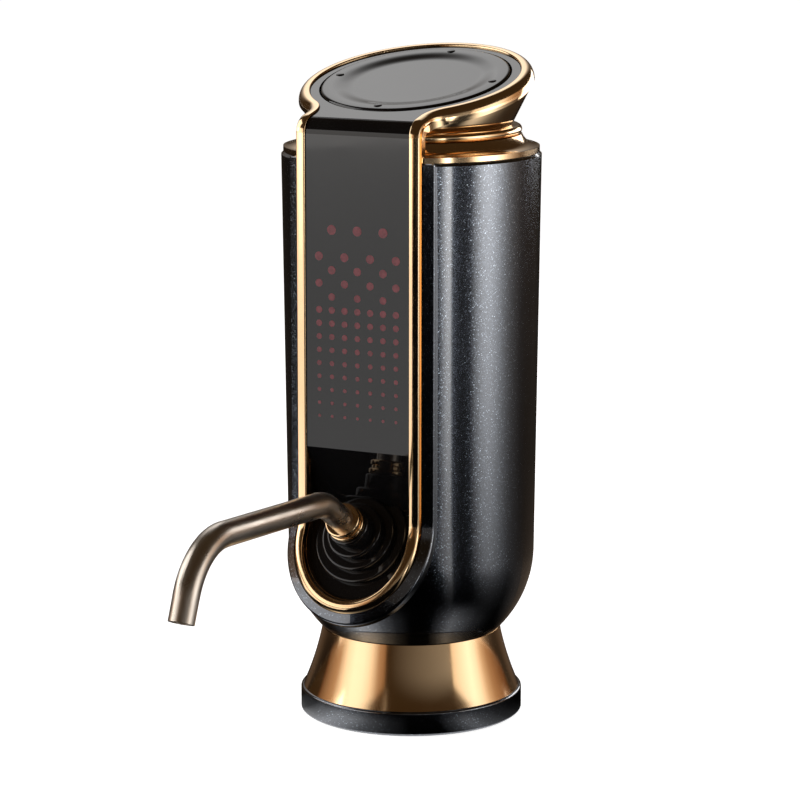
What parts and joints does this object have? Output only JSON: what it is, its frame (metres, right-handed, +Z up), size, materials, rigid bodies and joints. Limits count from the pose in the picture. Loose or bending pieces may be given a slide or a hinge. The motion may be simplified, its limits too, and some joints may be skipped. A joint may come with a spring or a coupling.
{
  "type": "electric wine decanter",
  "caption": "Bottle-top electric wine pourer: round dark body on a flared gold foot, tilted push-button head, gold-framed black panel and a bent steel spout that swivels in a front niche.",
  "frame": {"origin": "on the body's axis at the mouth of the bottle socket, which lies in the plane of the foot", "axes": "+Z up along the bottle's axis, -Y to the front with the panel and the spout, +X to the right seen from behind the spout's tip"},
  "size_m": [0.063, 0.1457, 0.1628],
  "materials": {
    "flake_paint": "dark paint with fine flakes, semi gloss",
    "gold_trim": "polished champagne gold",
    "black_gloss": "high gloss",
    "black_plastic": "satin",
    "stainless": "polished",
    "seal_rubber": "matt",
    "hose_silicone": "milky",
    "circuit_board": "solder mask",
    "board_chips": "satin",
    "light_red": "clear lens",
    "cell_wrap": "shrink wrap",
    "copper_winding": "lacquered wire on laminations",
    "gear_brass": "machined",
    "wire_red": "satin"
  },
  "bodies": {
    "stand": {"foot_ring": "flake_paint", "base_skirt": "gold_trim", "bottle_socket": "black_plastic", "bottle_gasket": "seal_rubber", "suction_port": "stainless", "vent_valve": "seal_rubber", "base_screws": "stainless", "body_shell": "flake_paint", "inner_chassis": "black_plastic", "chassis_screws": "stainless", "top_bulkhead": "black_plastic", "head_screws": "stainless", "top_collar": "gold_trim", "head_cup": "gold_trim", "gold_frame": "gold_trim", "face_panel": "black_gloss", "niche_floor": "black_gloss", "spout_fitting": "black_gloss", "spout_elbow": "black_plastic", "button_guide": "black_plastic", "button_spring": "stainless", "button_board": "circuit_board", "tact_switch": "board_chips", "pump_cover": "stainless", "pump_gasket": "seal_rubber", "pump_body": "stainless", "pump_screws": "stainless", "shaft_seal": "seal_rubber", "driven_pin": "stainless", "motor_can": "stainless", "motor_magnets": "board_chips", "motor_end_cap": "black_plastic", "suction_hose": "hose_silicone", "outlet_hose": "hose_silicone", "battery_cell": "cell_wrap", "battery_holder": "black_plastic", "main_board": "circuit_board", "board_parts": "board_chips", "led_board": "circuit_board", "led_chips": "light_red", "usb_board": "circuit_board", "usb_socket": "stainless", "motor_leads": "wire_red", "battery_lead": "wire_red"},
    "button": {"push_button": "black_gloss"},
    "spout": {"spout_tube": "stainless", "spout_nut": "gold_trim", "spout_o_ring": "seal_rubber"},
    "pump_drive": {"drive_gear": "gear_brass", "motor_shaft": "stainless", "motor_armature": "copper_winding"},
    "pump_driven": {"driven_gear": "gear_brass"}
  },
  "joints": [
    {"name": "button_press", "type": "slide", "parent": "stand", "child": "button", "axis": [0, 0.2453, -0.9694], "range_m": [0, 0.0012], "stiffness_N_per_m": 800, "springref_m": -0.001, "deforming": ["button_spring"]},
    {"name": "spout_swivel", "type": "hinge", "parent": "stand", "child": "spout", "pos_m": [0, -0.0264, 0.0484], "axis": [0, -0.848, 0.5299], "range_deg": [-60, 60]},
    {"name": "pump_drive_spin", "type": "hinge", "parent": "stand", "child": "pump_drive", "pos_m": [-0.00505, -0.0085, 0.082], "axis": [0, 0, 1], "continuous": true},
    {"name": "pump_driven_spin", "type": "hinge", "parent": "stand", "child": "pump_driven", "pos_m": [0.00505, -0.0085, 0.082], "axis": [0, 0, 1], "continuous": true}
  ],
  "couplings": [
    {"joint": "pump_driven_spin", "follows": "pump_drive_spin", "ratio": -1}
  ]
}
